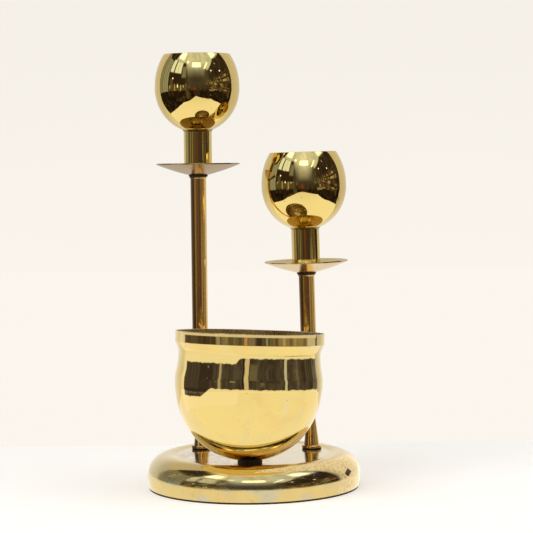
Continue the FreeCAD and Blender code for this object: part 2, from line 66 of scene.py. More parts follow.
# ---- shader graphs -------------------------------------------------------------------------------
class Graph:
    """Short names for the shader nodes used here. Values are sockets, numbers or tuples."""

    def __init__(self, tree):
        self.tree = tree
        tree.nodes.clear()

    def put(self, socket, value):
        if isinstance(value, bpy.types.NodeSocket):
            self.tree.links.new(value, socket)
        elif isinstance(value, tuple) and len(value) == 3 and socket.type == "RGBA":
            socket.default_value = (*value, 1)
        else:
            socket.default_value = value

    def math(self, op, a, b=None):
        made = self.tree.nodes.new("ShaderNodeMath")
        made.operation = op
        for socket, value in zip(made.inputs, (a, b)):
            if value is not None:
                self.put(socket, value)
        return made.outputs[0]

    def add(self, a, b):
        return self.math("ADD", a, b)

    def mul(self, a, b):
        return self.math("MULTIPLY", a, b)

    def inverse(self, share):
        return self.math("SUBTRACT", 1.0, share)

    def larger(self, a, b):
        return self.math("MAXIMUM", a, b)

    def length(self, x, y):
        return self.math("SQRT", self.add(self.mul(x, x), self.mul(y, y)))

    def blend(self, share, start, end):
        """The number start where share is 0, and the number end where it is 1."""
        return self.add(start, self.mul(share, end - start))

    def step(self, value, low, high):
        """0 below low, 1 above high, smooth between; low may be the larger, which turns it round."""
        made = self.tree.nodes.new("ShaderNodeMapRange")
        made.interpolation_type = "SMOOTHSTEP"
        for name, v in (("Value", value), ("From Min", low), ("From Max", high)):
            self.put(made.inputs[name], v)
        return made.outputs["Result"]

    def window(self, value, low, high, soft):
        """1 between low and high, 0 outside, with soft edges."""
        rising = self.step(value, low - soft, low + soft)
        return self.mul(rising, self.step(value, high + soft, high - soft))

    def mix(self, share, a, b):
        made = self.tree.nodes.new("ShaderNodeMix")
        made.data_type = "RGBA"
        self.put(made.inputs[0], share)
        self.put(made.inputs[6], a)
        self.put(made.inputs[7], b)
        return made.outputs[2]

    def cells(self, where, scale):
        """Round cells, as the node's outputs: Distance from each cell's centre, and a Color for each."""
        made = self.tree.nodes.new("ShaderNodeTexVoronoi")
        self.put(made.inputs["Scale"], scale)
        self.put(made.inputs["Vector"], where)
        return made.outputs

    def noise(self, where, scale, detail=2.0, rough=0.5, distortion=0.0):
        made = self.tree.nodes.new("ShaderNodeTexNoise")
        for name, v in (("Vector", where), ("Scale", scale), ("Detail", detail), ("Roughness", rough),
                        ("Distortion", distortion)):
            self.put(made.inputs[name], v)
        return made.outputs["Fac"]

    def ramp(self, value, stops):
        made = self.tree.nodes.new("ShaderNodeValToRGB")
        elements = made.color_ramp.elements
        while len(elements) < len(stops):
            elements.new(0.5)
        for element, (at, colour) in zip(elements, stops):
            element.position = at
            element.color = (*colour, 1)
        self.put(made.inputs[0], value)
        return made.outputs[0]

    def scaled(self, vector, x, y, z):
        made = self.tree.nodes.new("ShaderNodeMapping")
        self.put(made.inputs["Vector"], vector)
        made.inputs["Scale"].default_value = (x, y, z)
        return made.outputs[0]

    def vectors(self, op, a, b):
        made = self.tree.nodes.new("ShaderNodeVectorMath")
        made.operation = op
        self.put(made.inputs[0], a)
        self.put(made.inputs[1], b)
        return made.outputs

    def split(self, vector):
        made = self.tree.nodes.new("ShaderNodeSeparateXYZ")
        self.put(made.inputs[0], vector)
        return made.outputs

    def join(self, x, y, z):
        made = self.tree.nodes.new("ShaderNodeCombineXYZ")
        for socket, v in zip(made.inputs, (x, y, z)):
            self.put(socket, v)
        return made.outputs[0]

    def place(self):
        """The point being shaded, in the row frame, whatever pose its body is in."""
        return self.tree.nodes.new("ShaderNodeTexCoord").outputs["Object"]

    def ray(self, name):
        return self.tree.nodes.new("ShaderNodeLightPath").outputs[name]


def material(name):
    made = bpy.data.materials.new(name)
    made.use_nodes = True
    return made, Graph(made.node_tree)


def finish_surface(g, **inputs):
    """The material's surface shader. An input's name has underscores for its spaces."""
    shader = g.tree.nodes.new("ShaderNodeBsdfPrincipled")
    for name, value in inputs.items():
        g.put(shader.inputs[name.replace("_", " ")], value)
    out = g.tree.nodes.new("ShaderNodeOutputMaterial")
    g.tree.links.new(shader.outputs[0], out.inputs["Surface"])


def bumped(g, layers):
    """A normal from several (height, distance in metres, strength) layers."""
    normal = None
    for height, distance, strength in layers:
        made = g.tree.nodes.new("ShaderNodeBump")
        g.put(made.inputs["Height"], height)
        made.inputs["Distance"].default_value = distance
        made.inputs["Strength"].default_value = strength
        if normal is not None:
            g.put(made.inputs["Normal"], normal)
        normal = made.outputs[0]
    return normal


# ---- brass ---------------------------------------------------------------------------------------
POLISHED = (0.80, 0.62, 0.22)
DULLED = (0.69, 0.53, 0.21)
POST_BRASS = (0.82, 0.58, 0.23)
PEG_BRASS = (0.30, 0.26, 0.20)
WARM_TARNISH = (0.62, 0.42, 0.16)
DARK_TARNISH = (0.30, 0.21, 0.09)
GREY_TARNISH = (0.49, 0.51, 0.36)
NO_GLOW = (0.0, 0.0, 0.0)
# depths in metres
HAIRLINE_DEPTH, SPECK_DEPTH, RING_DEPTH, DRAWN_DEPTH, WAVE_DEPTH = 0.00002, 0.0001, 0.00002, 0.0002, 0.01
RING_RADIANS_PER_METRE = 5200


def brass(name, axis=(0.0, 0.0), polish=POLISHED, tarnish=0.35, patches=0.0, wave=0.0, rings=0.0,
          drawn=0.0, rough=0.035, seed=0.0, adapt=None):
    """Polished brass that has been handled: cloudy tarnish, specks, smudges and hairlines. axis is the
    (x, y) of the piece's turning axis, for the marks that run round it. seed moves the patterns, so that
    no two pieces have the same ones. adapt(g, colour) gives the colour, with painted shade in it, a glow
    of painted reflection and light, and extra roughness."""
    made, g = material(name)
    p = g.vectors("ADD", g.place(), (seed, seed * 0.7, seed * 1.3))["Vector"]
    x, y, z = g.split(g.place())
    dx, dy = g.add(x, -axis[0]), g.add(y, -axis[1])
    radius = g.length(dx, dy)
    turn = g.math("ARCTAN2", dy, dx)

    cloud = g.noise(p, 26, 5, 0.62, 0.6)
    cloud_share = g.mul(g.step(cloud, 0.42, 0.78), tarnish)
    colour = g.mix(cloud_share, polish, WARM_TARNISH)
    deep = g.mul(g.step(g.noise(p, 90, 6, 0.7, 0.4), 0.58, 0.80), tarnish * 0.8)
    colour = g.mix(deep, colour, DARK_TARNISH)
    specks = g.cells(p, 420)
    pick = g.split(specks["Color"])[0]
    speck = g.mul(g.step(specks["Distance"], 0.22, 0.08), g.step(pick, 0.93, 0.95))
    colour = g.mix(g.mul(speck, 0.75), colour, DARK_TARNISH)
    smudge = g.mul(g.step(g.noise(p, 60, 4, 0.6, 1.5), 0.50, 0.75), 0.10)
    hairline_vector = g.join(g.mul(turn, 0.35), g.mul(radius, 55), g.mul(z, 55))
    hairline = g.noise(hairline_vector, 42, 1, 0.5)
    roughness = g.add(g.add(rough, smudge), g.mul(cloud_share, 0.14))
    roughness = g.add(roughness, g.mul(speck, 0.3))
    if patches:
        grey = g.mul(g.step(g.noise(p, 30, 3, 0.55, 1.0), 0.48, 0.66), patches)
        colour = g.mix(grey, colour, GREY_TARNISH)
        roughness = g.add(roughness, g.mul(grey, 0.12))
    layers = [(hairline, HAIRLINE_DEPTH, 0.10), (speck, SPECK_DEPTH, 0.3)]
    if wave:
        layers.append((g.noise(p, 17, 2, 0.4), WAVE_DEPTH, wave))
    if rings:
        turned = g.math("SINE", g.mul(g.add(radius, z), RING_RADIANS_PER_METRE))
        layers.append((turned, RING_DEPTH, rings))
    if drawn:
        lengthwise = g.noise(g.join(g.mul(turn, 30), 0.0, g.mul(z, 1.5)), 1.0, 4, 0.7)
        layers.append((lengthwise, DRAWN_DEPTH, drawn))
    # The colour and glow from adapt hold painted reflections, light and shade.
    glow = NO_GLOW
    if adapt:
        colour, glow, duller = adapt(g, colour)
        roughness = g.add(roughness, duller)
    finish_surface(g, Base_Color=colour, Metallic=1.0, Roughness=roughness, Normal=bumped(g, layers),
                   Emission_Color=glow, Emission_Strength=1.0)
    return made


def mirrored_direction(g):
    """Turn and rise, in degrees, of the direction that each point mirrors, a little uneven. Turn is 0
    towards the camera and grows to the right, and rise is 0 at the horizon."""
    x, y, z = room_axes(g, g.tree.nodes.new("ShaderNodeTexCoord").outputs["Reflection"])
    turn = g.mul(g.math("ARCTAN2", x, g.mul(y, -1)), 180 / math.pi)
    rise = g.mul(g.math("ARCSINE", z), 180 / math.pi)
    wobble = g.noise(g.place(), 60, 2, 0.5)
    return g.add(turn, g.mul(g.add(wobble, -0.5), 7)), g.add(rise, g.mul(g.add(wobble, -0.5), 4))


def outside_of(g, axis):
    """1 where a surface faces away from an upright axis and 0 where it faces it, and the offset from it."""
    x, y, z = g.split(g.place())
    out_x, out_y = g.add(x, -axis[0]), g.add(y, -axis[1])
    normal = g.tree.nodes.new("ShaderNodeNewGeometry").outputs["Normal"]
    facing = g.vectors("DOT_PRODUCT", normal, g.join(out_x, out_y, 0.0))["Value"]
    return g.step(facing, -0.004, 0.004), out_x, out_y


def patches_over(g, under, turn, rise, patches):
    """Rectangles in degrees of turn and rise, each as (left, right, low, high, softness, colour)."""
    for left, right, low, high, soft, colour in patches:
        mask = g.mul(g.window(turn, left, right, soft), g.window(rise, low, high, soft))
        under = g.mix(mask, under, colour)
    return under


# Painted reflections of what only the low bowl mirrors, in its belly and in the upright band under its
# rim: turn and rise in degrees (left, right, low, high), softness, colour.
BOWL_ROOM = (
    (-125, -60, -30, 40, 4, (0.036, 0.021, 0.010)),
    (-52, -49, -30, 40, 1.0, (0.070, 0.048, 0.022)),
    (-48.5, -44.5, -30, 40, 0.8, (0.42, 0.29, 0.10)),
    (-28, -20, 3, 7, 1.2, (0.34, 0.23, 0.07)),
    (-10, -7.0, -30, 40, 0.6, (0.020, 0.013, 0.006)),
    (-6.5, 0.5, -30, 40, 0.8, (0.60, 0.43, 0.15)),
    (2.0, 14.0, 11, 40, 2.0, (0.12, 0.088, 0.030)),
    (18.0, 24.0, -2, 3, 1.5, (0.16, 0.11, 0.035)),
    (30.0, 45.0, 2, 9, 3.0, (0.030, 0.021, 0.010)),
    (57.5, 62.0, -30, 40, 0.8, (0.52, 0.42, 0.19)),
    (80.0, 84.0, -30, 40, 1.5, (0.12, 0.08, 0.035)),
)
BOWL_BAND = (
    (-114, -53, -30, 8, 2.0, (0.058, 0.031, 0.0085)),
    (-102, -88, -30, 8, 3.0, (0.075, 0.043, 0.012)),
    (-76, -70, -30, 8, 2.0, (0.044, 0.024, 0.007)),
    (-52, -47, -30, 8, 0.8, (0.30, 0.21, 0.070)),
    (-42, -34, -30, 8, 1.0, (0.20, 0.135, 0.036)),
    (-8.5, -4.0, -30, 8, 0.8, (0.46, 0.22, 0.045)),
    (-3.0, 6.0, -30, 8, 1.0, (0.20, 0.135, 0.045)),
    (8.0, 18.0, -30, 8, 1.5, (0.040, 0.025, 0.010)),
    (24.0, 27.0, -30, 8, 0.8, (0.26, 0.20, 0.09)),
    (36.0, 38.5, -30, 8, 0.8, (0.22, 0.10, 0.035)),
    (44.0, 100.0, -30, 8, 2.0, (0.235, 0.150, 0.040)),
    (52.0, 56.0, -30, 8, 1.0, (0.36, 0.26, 0.080)),
    (64.0, 69.0, -30, 8, 1.5, (0.15, 0.092, 0.024)),
    (72.0, 76.0, -30, 8, 0.8, (0.34, 0.21, 0.055)),
    (90.0, 95.0, -30, 8, 1.0, (0.16, 0.10, 0.026)),
    (99.0, 118.0, -30, 8, 1.0, (0.52, 0.40, 0.18)),
)
# The bowl leans, so heights on it are measured square to its rim.
BOWL_TILT = (math.sin(math.radians(2.0)), math.sin(math.radians(3.4)))
BOWL_BAND_LOW = 0.1239
BOWL_LIP_LOW = 0.1303
BOWL_ROOM_TOP, BOWL_ROOM_TOP_ON_LEFT = 0.1138, 0.1094
BOWL_ROOM_LOW, BOWL_ROOM_LOW_ON_LEFT = 0.0895, 0.0825
BOWL_HORIZON, BOWL_HORIZON_ON_LEFT = -12.5, -21.5
BOWL_INSIDE = (0.64, 0.52, 0.32)
BOWL_INSIDE_ROUGHNESS = 0.22
BOWL_GOLDEN = (0.74, 0.53, 0.20)
BOWL_GREYED = (0.64, 0.62, 0.46)
# Painted reflection colours: the pale table, a painted highlight along the lip and the band's pale end.
# UNLIT_BRASS darkens the brass under them.
BOWL_TABLE_REFLECTION = (0.86, 0.65, 0.24)
BOWL_LIP_HIGHLIGHT = (0.68, 0.50, 0.21)
BOWL_BAND_END_REFLECTION = (0.70, 0.54, 0.25)
UNLIT_BRASS = (0.02, 0.014, 0.006)


def bowl_belly(g, level, turn, rise, streaky):
    """Painted reflection: dark furniture between two ragged edges, pale table above and below. Where, and
    colour.
    """
    left = g.step(turn, -12, -22)
    uneven = g.noise(g.join(g.mul(turn, 0.09), 0.0, 0.0), 1.0, 2)
    ragged = g.add(level, g.mul(g.add(uneven, -0.5), 0.003))
    top = g.blend(left, BOWL_ROOM_TOP, BOWL_ROOM_TOP_ON_LEFT)
    low = g.blend(g.step(turn, -58, -86), BOWL_ROOM_LOW, BOWL_ROOM_LOW_ON_LEFT)
    above = g.step(ragged, g.add(top, -0.0006), g.add(top, 0.0006))
    below = g.step(ragged, g.add(low, 0.0005), g.add(low, -0.0005))
    pale = g.larger(g.larger(above, below), g.step(turn, -118, -121))
    room = g.mix(streaky, (0.034, 0.020, 0.009), (0.085, 0.062, 0.026))
    room = patches_over(g, room, turn, rise, BOWL_ROOM)
    horizon = g.blend(left, BOWL_HORIZON, BOWL_HORIZON_ON_LEFT)
    where = g.mul(g.step(rise, g.add(horizon, -1.5), g.add(horizon, 1.5)), g.window(turn, -128, 132, 3))
    where = g.mul(where, g.step(level, BOWL_BAND_LOW - 0.001, BOWL_BAND_LOW - 0.005))
    return where, g.mix(pale, room, BOWL_TABLE_REFLECTION)


def bowl_band(g, level, turn, rise, streaky):
    """Painted reflection: upright stripes, a painted highlight along the lip and a pale left end. Where,
    and colour.
    """
    band = g.mix(streaky, (0.060, 0.040, 0.010), (0.185, 0.130, 0.038))
    band = patches_over(g, band, turn, rise, BOWL_BAND)
    band = g.mix(g.step(level, BOWL_LIP_LOW - 0.0003, BOWL_LIP_LOW + 0.0003), band, BOWL_LIP_HIGHLIGHT)
    band = g.mix(g.step(turn, -117, -121), band, BOWL_BAND_END_REFLECTION)
    where = g.mul(g.step(level, BOWL_BAND_LOW - 0.0004, BOWL_BAND_LOW), g.step(rise, 8, 2))
    return g.mul(where, g.window(turn, -134, 122, 2)), band


def bowl_look(g, colour):
    """The bowl's inside is duller. On its outside a narrow view of the room from low down is painted as a
    reflection, over darkened brass.
    """
    outside, out_x, out_y = outside_of(g, axis_of("bowl_seat"))
    z = g.split(g.place())[2]
    level = g.add(z, g.add(g.mul(out_x, BOWL_TILT[0]), g.mul(out_y, BOWL_TILT[1])))
    colour = g.mix(g.step(outside, 0.6, 0.4), colour, BOWL_INSIDE)
    golden = g.step(g.noise(g.scaled(g.place(), 1.0, 1.0, 1.3), 24, 3, 0.55, 1.0), 0.48, 0.68)
    colour = g.mix(g.mul(g.mul(golden, outside), 0.40), colour, BOWL_GOLDEN)
    greyed = g.step(g.noise(g.scaled(g.place(), 1.0, 1.0, 0.7), 42, 4, 0.6, 1.4), 0.60, 0.68)
    colour = g.mix(g.mul(g.mul(greyed, outside), 0.40), colour, BOWL_GREYED)

    turn, rise = mirrored_direction(g)
    streaky = g.noise(g.join(g.mul(turn, 0.11), g.mul(rise, 0.02), 0.0), 1.0, 4, 0.7)
    streaky = g.step(streaky, 0.35, 0.70)
    in_belly, belly = bowl_belly(g, level, turn, rise, streaky)
    in_band, band = bowl_band(g, level, turn, rise, streaky)
    in_belly, in_band = g.mul(outside, in_belly), g.mul(outside, in_band)
    # Painted reflection: the belly and band glow, and the brass under them is darkened.
    glow = g.mix(in_band, g.mix(in_belly, NO_GLOW, belly), band)
    colour = g.mix(g.mul(g.larger(in_belly, in_band), 0.94), colour, UNLIT_BRASS)
    return colour, glow, g.mul(g.inverse(outside), BOWL_INSIDE_ROUGHNESS)


# Painted light for the low cup and painted shade for the tall cup, where they mirror the lamp.
CUP_PAINTED_LIGHT = (0.21, 0.17, 0.075)
CUP_SHADE = (0.28, 0.19, 0.06)


def cup_look(side):
    """Painted light and shade under the lamp: a pale painted glow in the low cup and painted shade in the
    tall one.
    """
    def look(g, colour):
        outside = outside_of(g, axis_of("candle_cup_" + side))[0]
        turn, rise = mirrored_direction(g)
        middle = g.mul(outside, g.window(turn, -16, 16, 10))
        if side == "right":
            painted_light = g.mul(middle, g.window(rise, 11, 75, 7))
            return colour, g.mix(painted_light, NO_GLOW, CUP_PAINTED_LIGHT), 0.0
        shade = g.mul(middle, g.window(rise, 6, 31, 5))
        return g.mix(g.mul(shade, 0.5), colour, CUP_SHADE), NO_GLOW, 0.0
    return look


def post_look(g, colour):
    """Painted reflections of the furniture in front: brown and gold streaks down the posts, darkest on the
    left and golden on the right, glowing over brass that is darkened on the left."""
    turn, rise = mirrored_direction(g)
    streaks = g.noise(g.join(g.mul(turn, 0.045), 0.0, 0.0), 1.0, 3, 0.7)
    painted_reflection = g.ramp(streaks, [(0.38, (0.004, 0.002, 0.000)), (0.47, (0.024, 0.010, 0.002)),
                            (0.54, (0.060, 0.020, 0.004)), (0.64, (0.17, 0.105, 0.028))])
    # Painted reflection: the brass is darkened where it mirrors the dark left side.
    colour = g.mix(g.mul(g.window(turn, -172, -62, 10), 0.9), colour, (0.035, 0.020, 0.008))
    painted_reflection = g.mix(g.step(turn, -62, -80), painted_reflection, (0.030, 0.013, 0.003))
    painted_reflection = g.mix(g.mul(g.window(turn, 62, 118, 8), 0.7), painted_reflection, (0.20, 0.125, 0.030))
    return colour, g.mix(g.window(turn, -165, 125, 5), NO_GLOW, painted_reflection), 0.0


# The flat top of the base: its height and its edge's radius. The black mark on the rounded edge: its
# place across, its height, and half its width and height.
FLAT_HEIGHT, FLAT_RADIUS = 0.0268, 0.065
MARK_X, MARK_Z, MARK_HALF_WIDTH, MARK_HALF_HEIGHT = 0.0788, 0.0171, 0.00200, 0.00236
FLAT_PAINTED_SHEEN = (0.72, 0.66, 0.55)
SMUDGE = (0.36, 0.30, 0.25)
GREY_STAIN = (0.52, 0.50, 0.38)
GOLD_STAIN = (0.62, 0.40, 0.13)
MARK_BLACK = (0.055, 0.050, 0.026)


def base_stains(g, colour, x, z, flat):
    """Smudges round the tall post's foot, and grey and golden stains on the side."""
    smudged = g.step(g.noise(g.place(), 75, 5, 0.65, 1.0), 0.40, 0.62)
    smudged = g.mul(g.mul(smudged, flat), g.step(x, 0.012, -0.030))
    colour = g.mix(g.mul(smudged, 0.75), colour, SMUDGE)
    grey = g.step(g.noise(g.scaled(g.place(), 1.0, 1.0, 1.8), 34, 3, 0.6, 0.8), 0.54, 0.60)
    grey = g.mul(grey, g.step(z, 0.019, 0.014))
    colour = g.mix(g.mul(grey, 0.55), colour, GREY_STAIN)
    gold = g.step(g.noise(g.place(), 55, 4, 0.6, 0.5), 0.56, 0.66)
    gold = g.mul(gold, g.step(z, 0.026, 0.020))
    return g.mix(g.mul(gold, 0.5), colour, GOLD_STAIN)


def base_mark(g, x, y, z):
    """1 in a small diamond on the rounded edge, in front on the right."""
    across = g.mul(g.add(x, -MARK_X), 1 / MARK_HALF_WIDTH)
    up = g.mul(g.add(z, -MARK_Z), 1 / MARK_HALF_HEIGHT)
    off = g.add(g.math("ABSOLUTE", g.add(across, g.mul(up, 0.15))), g.math("ABSOLUTE", up))
    return g.mul(g.step(off, 1.45, 1.2), g.step(y, 0.0, -0.001))


def base_look(g, colour):
    """The base's flat top is paled by a painted sheen, and its side is stained. Its rim has painted
    reflections: window panes on the left and a pale, speckled wall on the right, glowing over darkened
    brass."""
    x, y, z = g.split(g.place())
    on_flat = g.step(g.length(x, y), FLAT_RADIUS, FLAT_RADIUS - 0.005)
    flat = g.mul(g.step(z, FLAT_HEIGHT, FLAT_HEIGHT + 0.0005), on_flat)
    # Painted sheen: the flat top is paled as the wall's grazing reflection would pale it.
    colour = g.mix(g.mul(flat, 0.55), colour, FLAT_PAINTED_SHEEN)
    colour = base_stains(g, colour, x, z, flat)
    mark = base_mark(g, x, y, z)
    colour = g.mix(g.mul(mark, 0.9), colour, MARK_BLACK)

    # Painted reflections: panes darken the rim on the left and glow in streaks; a pale speckled wall glows
    # on the right.
    turn, rise = mirrored_direction(g)
    panes = g.mul(g.window(turn, -110, -30, 4), g.window(rise, 5, 45, 3))
    colour = g.mix(g.mul(panes, 0.35), colour, (0.10, 0.075, 0.03))
    lines = g.noise(g.join(g.mul(turn, 0.08), g.mul(rise, 0.22), 0.0), 1.0, 5, 0.7, 0.6)
    lines = g.ramp(lines, [(0.42, NO_GLOW), (0.54, (0.10, 0.068, 0.020)), (0.66, (0.34, 0.25, 0.09))])
    wall = g.mul(g.window(turn, 106, 170, 5), g.step(flat, 0.5, 0.0))
    colour = g.mix(g.mul(wall, 0.8), colour, (0.05, 0.035, 0.015))
    painted_speckle = g.step(g.noise(g.place(), 420, 4, 0.7, 0.6), 0.36, 0.62)
    pale = g.mix(painted_speckle, (0.46, 0.33, 0.135), (0.68, 0.52, 0.250))
    glow = g.mix(g.mul(wall, g.inverse(mark)), NO_GLOW, pale)
    return colour, g.mix(g.mul(panes, 0.8), glow, lines), 0.0


# ---- other materials -----------------------------------------------------------------------------
def felt():
    """Brown wool felt, fibrous and a little mottled."""
    made, g = material("brown_felt")
    p = g.place()
    fibre = g.noise(p, 2600, 6, 0.75, 2.0)
    mottle = g.noise(p, 60, 4, 0.6)
    colour = g.mix(fibre, (0.013, 0.005, 0.0025), (0.045, 0.019, 0.009))
    colour = g.mix(g.mul(mottle, 0.3), colour, (0.065, 0.032, 0.017))
    finish_surface(g, Base_Color=colour, Roughness=0.95, Sheen_Weight=0.05, Sheen_Roughness=0.5,
                   Normal=bumped(g, [(fibre, 0.0006, 0.8)]))
    return made


def black_soft(name, colour, rough, dust):
    """Rubber or fibre: nearly black, with dust in its grain."""
    made, g = material(name)
    p = g.place()
    grain = g.noise(p, 1500, 5, 0.7)
    dusty = g.mul(g.step(g.noise(p, 120, 4, 0.6), 0.45, 0.8), dust)
    finish_surface(g, Base_Color=g.mix(dusty, colour, (0.20, 0.18, 0.15)),
                   Roughness=g.add(rough, g.mul(grain, 0.2)), Normal=bumped(g, [(grain, 0.0003, 0.5)]))
    return made


def zinc_steel():
    """Zinc-plated steel, with spangles and some yellowed patches."""
    made, g = material("zinc_steel")
    p = g.place()
    spangle = g.split(g.cells(p, 900)["Color"])[0]
    cloud = g.noise(p, 120, 4, 0.6)
    colour = g.mix(spangle, (0.56, 0.57, 0.58), (0.72, 0.72, 0.70))
    colour = g.mix(g.mul(g.step(cloud, 0.5, 0.8), 0.5), colour, (0.42, 0.36, 0.22))
    grain = g.noise(g.scaled(p, 1, 1, 8), 800, 4, 0.7)
    finish_surface(g, Base_Color=colour, Metallic=1.0, Roughness=g.add(0.25, g.mul(cloud, 0.2)),
                   Normal=bumped(g, [(grain, 0.0001, 0.5)]))
    return made


def cast_iron():
    """Rough dark iron with patches of rust."""
    made, g = material("cast_iron")
    p = g.place()
    grit = g.noise(p, 700, 8, 0.75)
    rust = g.step(g.noise(p, 70, 5, 0.65, 0.8), 0.52, 0.72)
    colour = g.mix(grit, (0.035, 0.034, 0.034), (0.12, 0.115, 0.11))
    colour = g.mix(g.mul(rust, 0.7), colour, (0.19, 0.075, 0.03))
    finish_surface(g, Base_Color=colour, Metallic=0.6, Roughness=g.add(0.55, g.mul(rust, 0.3)),
                   Normal=bumped(g, [(grit, 0.0008, 0.9)]))
    return made


# ---- table, wall and room ------------------------------------------------------------------------
WALL_LOW = (0.972, 0.922, 0.850)
WALL_HIGH = (0.922, 0.878, 0.808)
WALL_HAZE = (0.80, 0.74, 0.66)
TABLE_GLOW, TABLE_GLOW_STRENGTH = (0.99, 0.975, 0.925), 0.34
EVEN_LIGHT, EVEN_LIGHT_STRENGTH = (0.93, 0.92, 0.90), 0.42
WALL_DISTANCE = 0.235
FLOOR_HALF = 3.0
TABLE_DROP = 0.0002  # keeps the table top that the brass mirrors clear of the floor
TABLE_OUTLINE = ((-0.45, WALL_DISTANCE), (-0.36, -0.36), (-0.08, -0.84), (0.45, -0.50), (0.49, 0.06),
                 (0.49, WALL_DISTANCE))
WALL_OUTLINE = ((-0.46, 0), (0.62, 0), (0.62, 1.3), (-0.46, 1.3))

# Things in the room that the brass mirrors: turn and rise in degrees (left, right, low, high),
# softness, colour.
PANE = (1.00, 1.15, 1.40)
PANEL = (0.38, 0.42, 0.44)
STRIPE = (0.36, 0.36, 0.30)
GAP = (0.03, 0.022, 0.02)
BROWN = (0.036, 0.024, 0.020)
LAMP = (2.8, 2.9, 3.1)
ROOM = (
    # dark left-hand side, with a lit cupboard, a window's panes and small pale things on a ledge
    (-84, -30, 2, 22, 5.0, BROWN),
    (-124, -107, -6, 40, 1.0, STRIPE),
    (-119, -117.5, -6, 40, 0.5, GAP),
    (-113, -111.8, -6, 40, 0.5, GAP),
    (-105, -85, -5, 38, 1.0, PANEL),
    (-99.3, -98.3, -5, 38, 0.4, GAP),
    (-92.5, -91.3, -5, 38, 0.4, GAP),
    (-82, -70, 22, 42, 1.0, PANE),
    (-66, -45, 22, 42, 1.0, PANE),
    (-56.5, -55.5, 22, 42, 0.4, PANEL),
    (-42, -30, 15, 35, 2.0, (0.26, 0.26, 0.24)),
    (-78, -68, 0, 12, 1.0, (0.13, 0.09, 0.07)),
    (-75, -72, 0, 4, 0.8, (0.50, 0.42, 0.40)),
    (-64, -61, 0, 5, 0.8, (0.46, 0.34, 0.28)),
    (-55, -51, 1, 5, 0.8, (0.62, 0.55, 0.52)),
    (-42, -39, 0, 4, 0.8, (0.46, 0.36, 0.26)),
    (-31, -28, 0, 5, 0.8, (0.40, 0.34, 0.30)),
    (-21, -19, 0, 4, 0.8, (0.36, 0.30, 0.24)),
    (-49, -43, -7, -3, 1.0, (0.30, 0.15, 0.07)),
    (-30, -20, -25, -5, 1.5, (0.10, 0.080, 0.040)),
    # the middle: a dim khaki wall, a red-brown post, a dark chest
    (-26, 34, 2, 28, 8.0, (0.095, 0.084, 0.074)),
    (-15, 1, -4, 1.5, 1.5, (0.11, 0.048, 0.032)),
    (-9, -2.5, -4, 1.5, 0.6, (0.20, 0.062, 0.040)),
    (-84, -25, -4, 3, 1.5, (0.115, 0.095, 0.060)),
    (-63.5, -60.5, -4, 4, 0.8, (0.50, 0.46, 0.28)),
    (-45.5, -42.5, -4, 4, 0.8, (0.52, 0.48, 0.30)),
    (50, 53, -4, 2, 0.8, (0.16, 0.12, 0.08)),
    (-8, 10, -20, -5, 1.5, (0.050, 0.028, 0.032)),
    (35, 50, -8, -2, 0.8, (0.30, 0.26, 0.20)),
)
LIGHTS = (
    (-72, -48, 48, 62, 1.5, LAMP),
    (62, 88, 50, 62, 1.5, LAMP),
    (-14, 14, 36, 45, 1.2, LAMP),
    (-33, -27, 43, 47, 1.2, LAMP),
    (-22, -18, 37, 40, 1.5, (0.80, 0.84, 0.86)),
    (42.7, 45.3, 26, 28, 0.6, LAMP),
    (70.8, 73.2, 23, 25, 0.6, LAMP),
    (61.8, 64.2, 37, 39, 0.8, (0.9, 0.9, 0.9)),
    (-70.2, -67.8, 12, 14, 0.6, LAMP),
    (-54.2, -51.8, 2, 4, 0.6, LAMP),
    (-79, -77, 1, 3, 0.6, (0.8, 0.8, 0.8)),
    (-37, -35, 2, 4, 0.6, (1.4, 1.3, 1.2)),
)
# The rise of the ceiling's lower edge on the left, and how far it dips in the middle, in degrees.
CEILING_EDGE, CEILING_DIP = 41, 29
# Where the shelves' boards would meet: turn and rise in degrees.
VANISHING_TURN, VANISHING_RISE = 14, 7


def turned_with_view(x, y, z):
    """A point of the room, which is square to the camera, in the row frame."""
    return Matrix.Rotation(VIEW_AZIMUTH, 3, "Z") @ Vector((x, y, z))


def sheet(name, corners, mat, camera=True, shadow=True):
    """A flat piece of the surroundings."""
    mesh = bpy.data.meshes.new(name)
    mesh.from_pydata([tuple(c) for c in corners], [], [tuple(range(len(corners)))])
    made = bpy.data.objects.new(name, mesh)
    bpy.context.scene.collection.objects.link(made)
    made.data.materials.append(mat)
    made.visible_camera = camera
    made.visible_shadow = shadow
    return made


def emission(g, colour, strength=1.0):
    made = g.tree.nodes.new("ShaderNodeEmission")
    g.put(made.inputs[0], colour)
    g.put(made.inputs[1], strength)
    return made.outputs[0]


def shader_mix(g, share, a, b):
    made = g.tree.nodes.new("ShaderNodeMixShader")
    g.put(made.inputs[0], share)
    g.tree.links.new(a, made.inputs[1])
    g.tree.links.new(b, made.inputs[2])
    return made.outputs[0]


def output(g, shader, kind="ShaderNodeOutputMaterial"):
    out = g.tree.nodes.new(kind)
    g.tree.links.new(shader, out.inputs["Surface"])


def room_axes(g, vector):
    """x, y, z of a vector in the room's axes."""
    made = g.tree.nodes.new("ShaderNodeVectorRotate")
    made.rotation_type = "Z_AXIS"
    g.put(made.inputs["Vector"], vector)
    made.inputs["Angle"].default_value = -VIEW_AZIMUTH
    return g.split(made.outputs[0])


